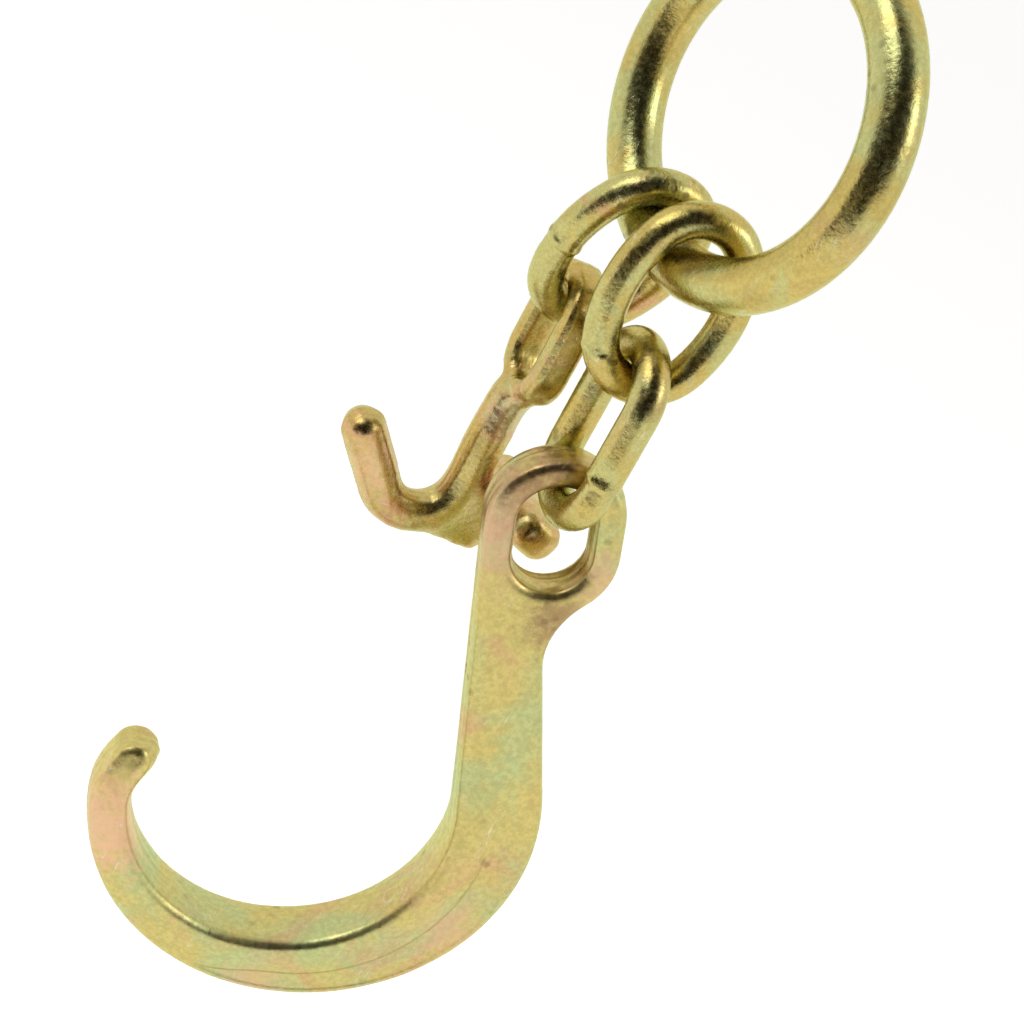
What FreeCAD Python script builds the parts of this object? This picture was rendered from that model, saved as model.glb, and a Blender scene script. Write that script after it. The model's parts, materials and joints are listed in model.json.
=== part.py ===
"""Tow cluster: a ring, two coupling links, a chain link, a J hook and an R and T hook.

The ring's centre is the origin and the ring stands upright, as it does when it is
held and the rest hangs from it.  +Z is up and the J hook lies in a plane of constant Y.
Every link and hook hangs from the piece above it with a small gap where they bear.
"""

import FreeCAD, Part
import math
import os

from FreeCAD import Placement, Rotation, Vector

SIZES = {
    # ring
    "ring_bore": 63.5,
    "ring_wire": 12.7,
    "ring_turn": 25.6,
    # the two oval coupling links
    "coupling_wire": 8.6,
    "coupling_opening_width": 18.8,
    "coupling_opening_length": 33.6,
    "coupling_opening_end_radius": 7.6,
    "front_slide": -9.0,
    "front_twist": 23.7,
    "rear_slide": 20.0,
    "rear_twist": 15.7,
    # the plain chain link
    "chain_wire": 8.8,
    "chain_opening_length": 34.1,
    "chain_side_play": 1.4,
    "chain_turn": 10.0,
    # J hook
    "j_eye_wall": 8.2,
    "j_eye_hole_width": 17.8,
    "j_eye_hole_length": 26.5,
    "j_thickness": 11.6,
    "j_edge_round": 3.4,
    "j_neck_width": 19.4,
    "j_waist_radius": 20.0,
    "j_bowl_radius": 39.2,
    "j_bowl_inset": 1.5,
    "j_bowl_drop": 78.0,
    "j_back_radius": 56.3,
    "j_back_offset": 6.2,
    "j_back_drop": 3.5,
    "j_tip_angle": 161.0,
    # R and T hook
    "rt_turn": 9.0,
    "rt_eye_wall": 6.2,
    "rt_eye_thickness": 9.6,
    "rt_eye_round": 2.9,
    "rt_eye_offset": 2.0,
    "rt_eye_hole_width": 12.0,
    "rt_eye_hole_length": 25.4,
    "rt_rod": 11.2,
    "rt_shank_reach": 29.0,
    "rt_bend_radius": 10.8,
    "rt_finger_lean": 39.0,
    "rt_finger_length": 17.5,
    "rt_web_thickness": 8.0,
    "rt_web_round": 2.0,
    "rt_head_length": 35.0,
    "rt_head_width": 15.0,
    "rt_head_height": 12.5,
    "rt_head_tilt": 24.0,
    "rt_head_reach": 17.0,
    "rt_head_bevel": 3.4,
    "rt_web_crest": 6.0,
    "rt_web_overlap": 3.0,
    "rt_web_toe": 4.0,
    # what keeps bearing faces from touching
    "bearing_gap": 0.3,
}
CORNER_SHARE = (0.55, 0.48)  # where the web's corner lies, as shares of the head's reach and the rod
KEEL_SHARE = 0.3  # how far into the rod the web's keel reaches, as a share of the rod
KEEL_ANGLE = -100.0
FLAT = 1e-6  # an edge thinner than this across lies in one plane
SLACK = 2.0  # how far a piece starts above its resting place before it is let down

UP = Vector(0, 0, 1)


def make_sheet(doc):
    """Put every driving size in the spreadsheet under its own alias."""
    sheet = doc.addObject("Spreadsheet::Sheet", "Sizes")
    for row, (alias, value) in enumerate(SIZES.items(), start=1):
        sheet.set(f"A{row}", alias)
        sheet.set(f"B{row}", str(value))
        sheet.setAlias(f"B{row}", alias)
    doc.recompute()


def size(doc, alias):
    """Read one driving size from the spreadsheet."""
    return float(doc.Sizes.get(alias))


def bound(obj, **formulas):
    """Bind properties of an object to formulas of the spreadsheet's aliases."""
    for prop, formula in formulas.items():
        obj.setExpression(prop, formula)
    return obj


def placed_at(obj, **formulas):
    """Bind the position of an object, axis by axis, to formulas."""
    for axis, formula in formulas.items():
        obj.setExpression(f".Placement.Base.{axis}", formula)
    return obj


def polar(centre, radius, degrees):
    """The point at an angle on a circle, as (x, z)."""
    angle = math.radians(degrees)
    return centre[0] + radius * math.cos(angle), centre[1] + radius * math.sin(angle)


def line(a, b):
    """A sketch line between two points."""
    return Part.LineSegment(Vector(a[0], a[1], 0), Vector(b[0], b[1], 0))


def arc(a, via, b):
    """A sketch arc through three points."""
    return Part.Arc(Vector(a[0], a[1], 0), Vector(via[0], via[1], 0), Vector(b[0], b[1], 0))


def arc_bar(doc, name, radius, half_wire, start, sweep):
    """A round bar bent to an arc about Y in the XZ plane, from angle start over sweep."""
    bar = doc.addObject("Part::Torus", name)
    bound(bar, Radius1=radius, Radius2=half_wire)
    bar.Angle3 = sweep
    bar.Placement = Placement(Vector(), Rotation(Vector(1, 0, 0), 90) * Rotation(UP, start))
    return bar


def fuse(doc, name, shapes):
    """One solid from several that overlap or meet face to face."""
    joined = doc.addObject("Part::MultiFuse", name)
    joined.Shapes = shapes
    joined.Refine = True
    joined.Label = name
    return joined


def flat_forging(doc, name, plane, outline, thickness, edge_round, below=math.inf):
    """An outline in one of the body's planes, padded both ways, its rims rounded.

    Only rims that reach below the given height are rounded.
    """
    body = doc.addObject("PartDesign::Body", name)
    sketch = body.newObject("Sketcher::SketchObject", f"{name}_outline")
    support = next(f for f in body.Origin.OriginFeatures if f.Role == plane)
    sketch.AttachmentSupport = (support, [""])
    sketch.MapMode = "FlatFace"
    sketch.addGeometry(outline, False)
    pad = body.newObject("PartDesign::Pad", f"{name}_pad")
    pad.Profile = sketch
    pad.Midplane = True
    bound(pad, Length=thickness)
    doc.recompute()
    across = "YLength" if plane == "XZ_Plane" else "XLength"
    rims = [f"Edge{i}" for i, edge in enumerate(pad.Shape.Edges, start=1)
            if getattr(edge.BoundBox, across) < FLAT and edge.BoundBox.ZMin < below]
    rounded = body.newObject("PartDesign::Fillet", f"{name}_round")
    rounded.Base = (pad, rims)
    bound(rounded, Radius=edge_round)
    body.Tip = rounded
    doc.recompute()
    return body


def coupling_reach(doc):
    """Distance from a coupling link's middle to the middle of the bar at its end."""
    return (size(doc, "coupling_opening_length") + size(doc, "coupling_wire")) / 2


def chain_reach(doc):
    """Distance from the chain link's middle to the middle of the bar at its end."""
    return (size(doc, "chain_opening_length") + size(doc, "chain_wire")) / 2


def coupling_link(doc, name):
    """An oval link of four smooth arcs, its long axis along Z and its hole along Y."""
    half_wire = "Sizes.coupling_wire / 2"
    half_width = (size(doc, "coupling_opening_width") + size(doc, "coupling_wire")) / 2
    half_length = coupling_reach(doc)
    end = size(doc, "coupling_opening_end_radius") + size(doc, "coupling_wire") / 2
    rise = half_length - end
    side = (half_width ** 2 + rise ** 2 - end ** 2) / (2 * (half_width - end))
    lean = math.degrees(math.atan2(rise, side - half_width))
    ends = [arc_bar(doc, f"{name}_end{turn}", f"{end:.6f}", half_wire,
                    turn + lean, 180 - 2 * lean) for turn in (0, 180)]
    sides = [arc_bar(doc, f"{name}_side{turn}", f"{side:.6f}", half_wire,
                     turn - lean, 2 * lean) for turn in (0, 180)]
    for bar, sign in zip(ends, (1, -1)):
        bar.Placement.Base = Vector(0, 0, sign * rise)
    for bar, sign in zip(sides, (-1, 1)):
        bar.Placement.Base = Vector(sign * (side - half_width), 0, 0)
    return fuse(doc, name, ends + sides)


def long_ring(doc, name, radius, half_wire, straight):
    """Round bars of a ring with two half circles and two straight sides along Z.

    The radius to the bar's middle, the bar's own radius and the length of the
    straight sides are formulas.
    """
    bars = []
    for start, sign in ((0, ""), (180, "-")):
        end = arc_bar(doc, f"{name}_end{start}", radius, half_wire, start, 180)
        bars.append(placed_at(end, z=f"{sign}({straight}) / 2"))
        side = doc.addObject("Part::Cylinder", f"{name}_side{start}")
        bound(side, Radius=half_wire, Height=straight)
        bars.append(placed_at(side, x=f"{sign}({radius})", z=f"-({straight}) / 2"))
    return bars


def ring(doc):
    """The welded ring that holds the cluster."""
    body = doc.addObject("Part::Torus", "ring")
    bound(body, Radius1="(Sizes.ring_bore + Sizes.ring_wire) / 2",
          Radius2="Sizes.ring_wire / 2")
    body.Label = "ring"
    body.Placement = Placement(Vector(), Rotation(UP, size(doc, "ring_turn"))
                               * Rotation(Vector(0, 1, 0), 90))
    return body


def chain_link(doc):
    """The plain link: round bar bent to a long ring, its hole along Y.

    Its opening takes the J hook's eye with some play on each side.
    """
    opening = "Sizes.j_thickness + 2 * Sizes.chain_side_play"
    radius = f"({opening} + Sizes.chain_wire) / 2"
    straight = f"Sizes.chain_opening_length - ({opening})"
    bars = long_ring(doc, "chain", radius, "Sizes.chain_wire / 2", straight)
    return fuse(doc, "chain_link", bars)


def j_outline(doc):
    """Outline of the J hook, with the middle of its eye at the origin."""
    wall = size(doc, "j_eye_wall")
    half_width = size(doc, "j_eye_hole_width") / 2
    rise = size(doc, "j_eye_hole_length") / 2 - half_width
    outer = half_width + wall
    foot = (0, -rise)
    bowl_radius = size(doc, "j_bowl_radius")
    back_radius = size(doc, "j_back_radius")
    bowl = (size(doc, "j_bowl_inset") - outer - bowl_radius, -size(doc, "j_bowl_drop"))
    back = (bowl[0] + size(doc, "j_back_offset"), bowl[1] - size(doc, "j_back_drop"))
    tip = size(doc, "j_tip_angle")
    both = bowl_radius + back_radius
    along = sum(n * m for n, m in zip((back[0] - bowl[0], back[1] - bowl[1]),
                                      polar((0, 0), 1, tip)))
    reach = (both ** 2 - math.dist(back, bowl) ** 2) / (2 * (both - along))
    nose = polar(bowl, reach, tip)
    nose_radius = reach - bowl_radius
    nose_out = math.degrees(math.atan2(nose[1] - back[1], nose[0] - back[0]))

    crown = (0, rise)
    inner_turn = math.degrees(math.atan2(bowl[1] - crown[1], bowl[0] - crown[0])
                              - math.acos((outer + bowl_radius) / math.dist(bowl, crown)))
    waist_radius = size(doc, "j_waist_radius")
    neck = size(doc, "j_neck_width") - outer
    turn = -math.degrees(math.acos((neck + waist_radius) / (outer + waist_radius)))
    waist = polar(foot, outer + waist_radius, turn)
    span = math.dist(waist, back)
    bearing = math.degrees(math.atan2(waist[1] - back[1], waist[0] - back[0]))
    flank = bearing - math.degrees(math.acos((back_radius + waist_radius) / span))
    return [
        line(polar(bowl, bowl_radius, 180 + inner_turn), polar(crown, outer, inner_turn)),
        arc(polar(crown, outer, inner_turn), polar(crown, outer, 90), (outer, rise)),
        line((outer, rise), (outer, -rise)),
        arc((outer, -rise), polar(foot, outer, turn / 2), polar(foot, outer, turn)),
        arc(polar(foot, outer, turn), polar(waist, waist_radius, 180 + (turn + flank) / 2),
            polar(waist, waist_radius, 180 + flank)),
        line(polar(waist, waist_radius, 180 + flank), polar(back, back_radius, flank)),
        arc(polar(back, back_radius, flank), polar(back, back_radius, -90),
            polar(back, back_radius, nose_out)),
        arc(polar(back, back_radius, nose_out), polar(nose, nose_radius, tip - 90),
            polar(bowl, bowl_radius, tip)),
        arc(polar(bowl, bowl_radius, tip), polar(bowl, bowl_radius, -90),
            polar(bowl, bowl_radius, 180 + inner_turn)),
    ] + stadium(half_width, half_width + rise)


def j_hook(doc):
    """J hook: one flat forging with its eye's hole along Y."""
    body = flat_forging(doc, "j_hook", "XZ_Plane", j_outline(doc),
                        "Sizes.j_thickness", "Sizes.j_edge_round")
    body.Label = "j_hook"
    return body


def stadium(half_width, half_length):
    """A closed outline of two half circles and two straight sides about the origin."""
    rise = half_length - half_width
    corners = [(half_width, -rise), (half_width, rise), (-half_width, rise),
               (-half_width, -rise)]
    return [
        line(corners[0], corners[1]),
        arc(corners[1], (0, half_length), corners[2]),
        line(corners[2], corners[3]),
        arc(corners[3], (0, -half_length), corners[0]),
    ]


def rt_hook(doc):
    """R and T hook with the middle of its eye at the origin and the eye's hole along X.

    A round shank runs down from the eye and bends up to the R finger; a web joins the
    bend to the T head, a cross bar along Y.
    """
    wall = size(doc, "rt_eye_wall")
    half_width = size(doc, "rt_eye_hole_width") / 2
    half_length = size(doc, "rt_eye_hole_length") / 2
    eye = flat_forging(doc, "rt_eye", "YZ_Plane",
                       stadium(half_width + wall, half_length + wall)
                       + stadium(half_width, half_length),
                       "Sizes.rt_eye_thickness", "Sizes.rt_eye_round")
    placed_at(eye, x="Sizes.rt_eye_offset")

    bend = size(doc, "rt_bend_radius")
    lean = size(doc, "rt_finger_lean")
    shank_top = -half_length - wall / 2
    hollow = (-bend, shank_top - size(doc, "rt_shank_reach"))
    shank = doc.addObject("Part::Cylinder", "rt_shank")
    bound(shank, Radius="Sizes.rt_rod / 2", Height="Sizes.rt_shank_reach")
    shank.Placement.Base = Vector(0, 0, hollow[1])
    bowl = arc_bar(doc, "rt_bowl", "Sizes.rt_bend_radius", "Sizes.rt_rod / 2",
                   lean - 180, 180 - lean)
    bowl.Placement.Base = Vector(hollow[0], 0, hollow[1])
    root = polar(hollow, bend, lean - 180)
    finger = doc.addObject("Part::Cylinder", "rt_finger")
    bound(finger, Radius="Sizes.rt_rod / 2", Height="Sizes.rt_finger_length")
    finger.Placement = Placement(Vector(root[0], 0, root[1]),
                                 Rotation(Vector(0, 1, 0), -lean))
    end = polar(root, size(doc, "rt_finger_length"), 90 + lean)
    dome = doc.addObject("Part::Sphere", "rt_finger_dome")
    bound(dome, Radius="Sizes.rt_rod / 2")
    dome.Placement.Base = Vector(end[0], 0, end[1])

    head = (size(doc, "rt_head_reach"), hollow[1] - 1)
    crest, overlap, toe = (size(doc, "rt_web_" + name) for name in ("crest", "overlap", "toe"))
    corner = (CORNER_SHARE[0] * head[0], hollow[1] - bend - CORNER_SHARE[1] * size(doc, "rt_rod"))
    keel = polar(hollow, bend + KEEL_SHARE * size(doc, "rt_rod"), KEEL_ANGLE)
    web = flat_forging(doc, "rt_web", "XZ_Plane", [
        line((0, hollow[1] + crest), (head[0], head[1] + overlap)),
        line((head[0], head[1] + overlap), (head[0] + toe, head[1] - overlap)),
        line((head[0] + toe, head[1] - overlap), corner),
        line(corner, keel),
        line(keel, polar(hollow, bend, -90)),
        arc(polar(hollow, bend, -90), polar(hollow, bend, -45), (0, hollow[1])),
        line((0, hollow[1]), (0, hollow[1] + crest)),
    ], "Sizes.rt_web_thickness", "Sizes.rt_web_round", corner[1] + 1)

    bar = doc.addObject("PartDesign::Body", "rt_head")
    block = bar.newObject("PartDesign::AdditiveBox", "rt_head_block")
    bound(block, Length="Sizes.rt_head_width", Width="Sizes.rt_head_length",
          Height="Sizes.rt_head_height")
    placed_at(block, x="-Sizes.rt_head_width / 2", y="-Sizes.rt_head_length / 2",
              z="-Sizes.rt_head_height / 2")
    doc.recompute()
    bevel = bar.newObject("PartDesign::Chamfer", "rt_head_bevels")
    bevel.Base = (block, [f"Edge{i}" for i in range(1, 13)])
    bound(bevel, Size="Sizes.rt_head_bevel")
    bar.Tip = bevel
    bar.Placement = Placement(Vector(head[0], 0, head[1]),
                              Rotation(Vector(0, 1, 0), size(doc, "rt_head_tilt")))
    return fuse(doc, "rt_hook", [eye, shank, bowl, finger, dome, web, bar])


def let_down(piece, holder, way, gap):
    """Slide a piece along a direction until it clears its holder by just the gap."""
    for _ in range(3):
        clear = piece.Shape.distToShape(holder.Shape)[0]
        piece.Placement = Placement(way * (clear - gap), Rotation()) * piece.Placement


def hang(doc, pieces):
    """Place every link and hook under the piece that holds it, as gravity leaves it."""
    gap = size(doc, "bearing_gap")
    slack = UP * SLACK
    turn = Rotation(UP, size(doc, "ring_turn"))
    ring_radius = (size(doc, "ring_bore") + size(doc, "ring_wire")) / 2
    coupling = coupling_reach(doc)
    bearing = (size(doc, "ring_wire") + size(doc, "coupling_wire")) / 2
    for name, tilt in (("front", 0), ("rear", size(doc, "rear_slide"))):
        slide = math.radians(size(doc, f"{name}_slide"))
        touch = turn.multVec(Vector(0, math.sin(slide), -math.cos(slide)) * ring_radius)
        rotation = turn * Rotation(Vector(1, 0, 0), tilt) * Rotation(
            UP, -size(doc, f"{name}_twist"))
        down = rotation.multVec(-UP)
        link = pieces[f"{name}_coupling_link"]
        link.Placement = Placement(touch + down * (coupling - bearing - SLACK), rotation)
        let_down(link, pieces["ring"], down, gap)

    front, rear = pieces["front_coupling_link"], pieces["rear_coupling_link"]
    chain, j, rt = pieces["chain_link"], pieces["j_hook"], pieces["rt_hook"]
    chain_half = chain_reach(doc)
    reach = (size(doc, "coupling_wire") + size(doc, "chain_wire")) / 2
    foot = front.Placement.multVec(Vector(0, 0, -coupling))
    chain.Placement = Placement(foot - UP * (chain_half - reach) + slack,
                                Rotation(UP, size(doc, "chain_turn") - 90))
    let_down(chain, front, -UP, gap)

    foot = chain.Placement.multVec(Vector(0, 0, -chain_half))
    round_top = Vector(0, 0, (size(doc, "j_eye_hole_length") - size(doc, "j_eye_hole_width")) / 2)
    mass = j.Shape.Solids[0].CenterOfMass - round_top
    lean = Rotation(Vector(0, 1, 0), math.degrees(math.atan(-mass.x / mass.z)))
    play = (size(doc, "j_eye_hole_width") - size(doc, "chain_wire")) / 2
    j.Placement = Placement(foot - lean.multVec(round_top) - UP * play + slack, lean)
    let_down(j, chain, -UP, gap)

    foot = rear.Placement.multVec(Vector(0, 0, -coupling))
    spin = Rotation(UP, size(doc, "rt_turn"))
    mass = rt.Shape.Solids[0].CenterOfMass
    round_top = (size(doc, "rt_eye_hole_length") - size(doc, "coupling_wire")) / 2
    rt.Placement = Placement(foot - spin.multVec(Vector(mass.x, 0, round_top)) + slack, spin)
    let_down(rt, rear, -UP, gap)


def main():
    """Build, place and write the six pieces."""
    os.makedirs("parts", exist_ok=True)
    doc = FreeCAD.newDocument("cluster")
    make_sheet(doc)
    makers = (ring, lambda d: coupling_link(d, "front_coupling_link"),
              lambda d: coupling_link(d, "rear_coupling_link"), chain_link, j_hook, rt_hook)
    pieces = {piece.Label: piece for piece in (make(doc) for make in makers)}
    doc.recompute()
    hang(doc, pieces)
    doc.recompute()
    for obj in doc.Objects:
        if "Invalid" in obj.State or "Error" in obj.State:
            raise RuntimeError(f"{obj.Label} did not build: {obj.State}")
    for name, piece in pieces.items():
        if piece.Shape.isNull() or not piece.Shape.isValid():
            raise RuntimeError(f"{name} has no valid shape")
        piece.Shape.exportStep(f"parts/{name}.step")


main()
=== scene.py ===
"""Looks of a tow hook cluster: a pull ring, two coupling links, a chain link, a J hook and an R/T hook.

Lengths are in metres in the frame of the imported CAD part. The ring keeps its CAD surface. Each of the
other pieces gets an even skin laid on its CAD surface, and the welds, parting lines, eased junctions
and forging marks are worked into that skin.
"""

import json  # noqa: E402
import logging  # noqa: E402
import math  # noqa: E402
from collections.abc import Callable  # noqa: E402
from dataclasses import dataclass  # noqa: E402
from enum import Enum  # noqa: E402

import bmesh  # noqa: E402
import bpy  # noqa: E402
from mathutils import Matrix, Vector, noise  # noqa: E402
from mathutils.bvhtree import BVHTree  # noqa: E402


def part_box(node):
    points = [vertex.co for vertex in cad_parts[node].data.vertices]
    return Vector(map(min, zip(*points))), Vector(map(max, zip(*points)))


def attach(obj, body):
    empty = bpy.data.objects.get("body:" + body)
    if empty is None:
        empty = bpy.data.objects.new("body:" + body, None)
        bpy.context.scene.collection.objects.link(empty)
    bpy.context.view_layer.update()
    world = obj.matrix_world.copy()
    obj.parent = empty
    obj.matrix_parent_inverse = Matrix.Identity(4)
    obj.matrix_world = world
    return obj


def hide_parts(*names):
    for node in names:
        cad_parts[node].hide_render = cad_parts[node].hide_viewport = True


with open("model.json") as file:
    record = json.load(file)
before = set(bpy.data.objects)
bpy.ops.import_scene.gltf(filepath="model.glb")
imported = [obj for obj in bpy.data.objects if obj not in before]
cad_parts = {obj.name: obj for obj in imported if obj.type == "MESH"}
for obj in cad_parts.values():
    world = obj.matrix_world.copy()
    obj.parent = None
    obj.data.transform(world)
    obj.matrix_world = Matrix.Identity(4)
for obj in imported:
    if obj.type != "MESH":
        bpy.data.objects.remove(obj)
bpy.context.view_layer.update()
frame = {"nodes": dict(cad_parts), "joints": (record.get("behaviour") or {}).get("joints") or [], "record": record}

LOG = logging.getLogger("hook_cluster")
MM = 0.001
Colour = tuple[float, float, float]
Touch = Callable[[Vector, Vector], float]
Shift = Callable[[Vector], Vector]


class Slot(Enum):
    """The record's material slots for the pieces that get a skin."""

    LINK = "plated_link"
    FORGING = "plated_forging"


class Leg(Enum):
    """The two straight legs of a link, by the side that they lie on."""

    NEAR_SIDE = 1
    FAR_SIDE = -1


def joint_named(name: str) -> tuple[Vector, Vector]:
    """Finds a joint of the part.

    Args:
        name: The joint's name in the record.

    Returns:
        The joint's place and its unit axis.
    """
    row = next(j for j in frame["joints"] if j["name"] == name)
    return Vector(row["pos_m"]), Vector(row["axis"]).normalized()


def mount_named(name: str) -> Vector:
    """Finds a mount of the part.

    Args:
        name: The mount's name in the record.

    Returns:
        The mount's place.
    """
    row = next(m for m in frame["record"]["mounts"] if m["name"] == name)
    return Vector(row["pos_m"])


def middle_of(node: str) -> Vector:
    """Gives the middle of a CAD node's box."""
    low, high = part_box(node)
    return (low + high) / 2


def smooth(value: float, low: float, high: float) -> float:
    """Gives a soft step.

    Args:
        value: The number to place.
        low: Where the step starts.
        high: Where the step ends.

    Returns:
        0 before the step, 1 after it, and a smooth rise between.
    """
    share = min(1.0, max(0.0, (value - low) / (high - low)))
    return share * share * (3 - 2 * share)


def bell(value: float, width: float) -> float:
    """Gives a bell curve of height 1 and the given half width."""
    return math.exp(-((value / width) ** 2))


# ---------------------------------------------------------------- materials


class Nodes:
    """A node tree that is being written."""

    def __init__(self, tree: bpy.types.NodeTree) -> None:
        """Starts on an empty tree.

        Args:
            tree: The tree to write in.
        """
        self.tree = tree
        tree.nodes.clear()

    def add(self, kind: str, inputs: dict | None = None, **settings: object) -> bpy.types.Node:
        """Adds a node.

        Args:
            kind: The node's type without its ShaderNode start.
            inputs: A value, or a socket to join, for each input by name or number.
            settings: The node's own settings.

        Returns:
            The new node.
        """
        start = "" if kind.startswith("NodeGroup") else "ShaderNode"
        node = self.tree.nodes.new(start + kind)
        for name, value in settings.items():
            setattr(node, name, value)
        for name, value in (inputs or {}).items():
            if isinstance(value, bpy.types.NodeSocket):
                self.tree.links.new(value, node.inputs[name])
            else:
                node.inputs[name].default_value = value
        return node

    def sum_of(self, operation: str, *values: object) -> bpy.types.NodeSocket:
        """Adds a Math node on the given values or sockets and gives its output."""
        return self.add("Math", dict(enumerate(values)), operation=operation).outputs[0]

    def noise_of(self, vector: bpy.types.NodeSocket, **inputs: object) -> bpy.types.NodeSocket:
        """Adds a Noise Texture on a vector and gives its value."""
        named = {name.replace("_", " "): value for name, value in inputs.items()}
        return self.add("TexNoise", {"Vector": vector, **named}).outputs[0]

    def window(
        self, value: bpy.types.NodeSocket, low: float, high: float, top: object = 1.0
    ) -> bpy.types.NodeSocket:
        """Adds a soft step from 0 to top.

        Args:
            value: The socket to place.
            low: Where the step starts.
            high: Where the step ends.
            top: The value after the step, or a socket with it.

        Returns:
            The step's output.
        """
        node = self.add("MapRange", {0: value, 1: low, 2: high, 4: top}, interpolation_type="SMOOTHSTEP")
        return node.outputs[0]

    def blend(self, share: object, first: object, second: object, kind: str = "MIX") -> bpy.types.NodeSocket:
        """Mixes two colours.

        Args:
            share: How much of the second shows, as a number or a socket.
            first: The first colour or its socket.
            second: The second colour or its socket.
            kind: The way that they mix.

        Returns:
            The mixed colour.
        """
        node = self.add("Mix", data_type="RGBA", blend_type=kind)
        for place, value in ((0, share), (6, first), (7, second)):
            if isinstance(value, bpy.types.NodeSocket):
                self.tree.links.new(value, node.inputs[place])
            elif isinstance(value, tuple):
                node.inputs[place].default_value = (*value, 1.0)
            else:
                node.inputs[place].default_value = value
        return node.outputs[2]


class EffectGroup:
    """A shader node group with named inputs and outputs."""

    def __init__(self, name: str, inputs: dict[str, object], outputs: dict[str, str]) -> None:
        """Makes the group and its sockets.

        Args:
            name: The group's name.
            inputs: The default value of each input, where None is a vector.
            outputs: Each output's socket type, Float or Color.
        """
        self.tree = bpy.data.node_groups.new(name, "ShaderNodeTree")
        self.nodes = Nodes(self.tree)
        for label, value in inputs.items():
            kind = {float: "Float", tuple: "Color"}.get(type(value), "Vector")
            socket = self.tree.interface.new_socket(
                name=label, in_out="INPUT", socket_type="NodeSocket" + kind
            )
            if kind == "Float":
                socket.default_value = value
            elif kind == "Color":
                socket.default_value = (*value, 1.0)
        for label, kind in outputs.items():
            self.tree.interface.new_socket(name=label, in_out="OUTPUT", socket_type="NodeSocket" + kind)
        self.given = self.nodes.add("NodeGroupInput").outputs
        self.result = self.nodes.add("NodeGroupOutput").inputs

    def put(self, label: str, socket: bpy.types.NodeSocket) -> None:
        """Joins a socket to the group's output of that name."""
        self.tree.links.new(socket, self.result[label])


NOISE_MIDDLE = 0.5
PINK_SHIFT = (0.31, 0.17, 0.43)  # takes the pink patches off the green ones
BROWN_SHIFT = (0.71, 0.93, 0.11)  # takes the brown patches off both
BROWN_FINENESS = 2.7  # of the broad patches' scale
SPECKLE_FINENESS = 22.0  # of the broad patches' scale
SPECKLE_SHARE = 0.3
SPECKLE_DARK = (0.45, 0.42, 0.36)
SPECKLE_LIGHT = (1.0, 1.0, 1.0)


def plating_tint_group() -> bpy.types.NodeTree:
    """Builds the colour of a chromated zinc film, which drifts between gold, green, pink and brown.

    Returns:
        The node group.
    """
    group = EffectGroup(
        "plating_tint",
        {
            "Vector": None,
            "Patch Scale": 60.0,
            "Gold": (0.6, 0.47, 0.14),
            "Green Tint": (0.52, 0.58, 0.26),
            "Pink Tint": (0.68, 0.36, 0.22),
            "Brown Tint": (0.36, 0.25, 0.09),
            "Green": 0.6,
            "Pink": 0.6,
            "Brown": 0.4,
        },
        {"Color": "Color"},
    )
    nodes, given = group.nodes, group.given
    vector, scale = given["Vector"], given["Patch Scale"]
    broad = nodes.noise_of(vector, Scale=scale, Detail=4.0, Roughness=0.55, Distortion=0.9)
    shifted = nodes.add("VectorMath", {0: vector, 1: PINK_SHIFT}, operation="ADD").outputs[0]
    second = nodes.noise_of(shifted, Scale=scale, Detail=4.0, Roughness=0.6, Distortion=1.4)
    moved = nodes.add("VectorMath", {0: vector, 1: BROWN_SHIFT}, operation="ADD").outputs[0]
    brown_scale = nodes.sum_of("MULTIPLY", scale, BROWN_FINENESS)
    third = nodes.noise_of(moved, Scale=brown_scale, Detail=5.0, Roughness=0.7)
    speckle_scale = nodes.sum_of("MULTIPLY", scale, SPECKLE_FINENESS)
    fine = nodes.noise_of(vector, Scale=speckle_scale, Detail=3.0, Roughness=0.7)
    green = nodes.window(broad, low=0.42, high=0.62, top=given["Green"])
    pink = nodes.window(second, low=0.5, high=0.68, top=given["Pink"])
    brown = nodes.window(third, low=0.52, high=0.74, top=given["Brown"])
    colour = nodes.blend(green, given["Gold"], given["Green Tint"])
    colour = nodes.blend(pink, colour, given["Pink Tint"])
    colour = nodes.blend(brown, colour, given["Brown Tint"])
    speckle = nodes.blend(nodes.window(fine, low=0.36, high=0.66), SPECKLE_DARK, SPECKLE_LIGHT)
    group.put("Color", nodes.blend(SPECKLE_SHARE, colour, speckle, "MULTIPLY"))
    return group.tree


GRAIN_LOW, GRAIN_HIGH = 0.3, 0.72
WAVE_COARSENESS = 0.16  # of the grain's scale
WAVE_HEIGHT = 1.6  # of the grain's height
PIT_PATCH_COARSENESS = 0.18  # of the pits' scale
PIT_DEPTH = 1.4  # of the grain's height
PIT_ROUGHNESS = 0.25


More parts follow.
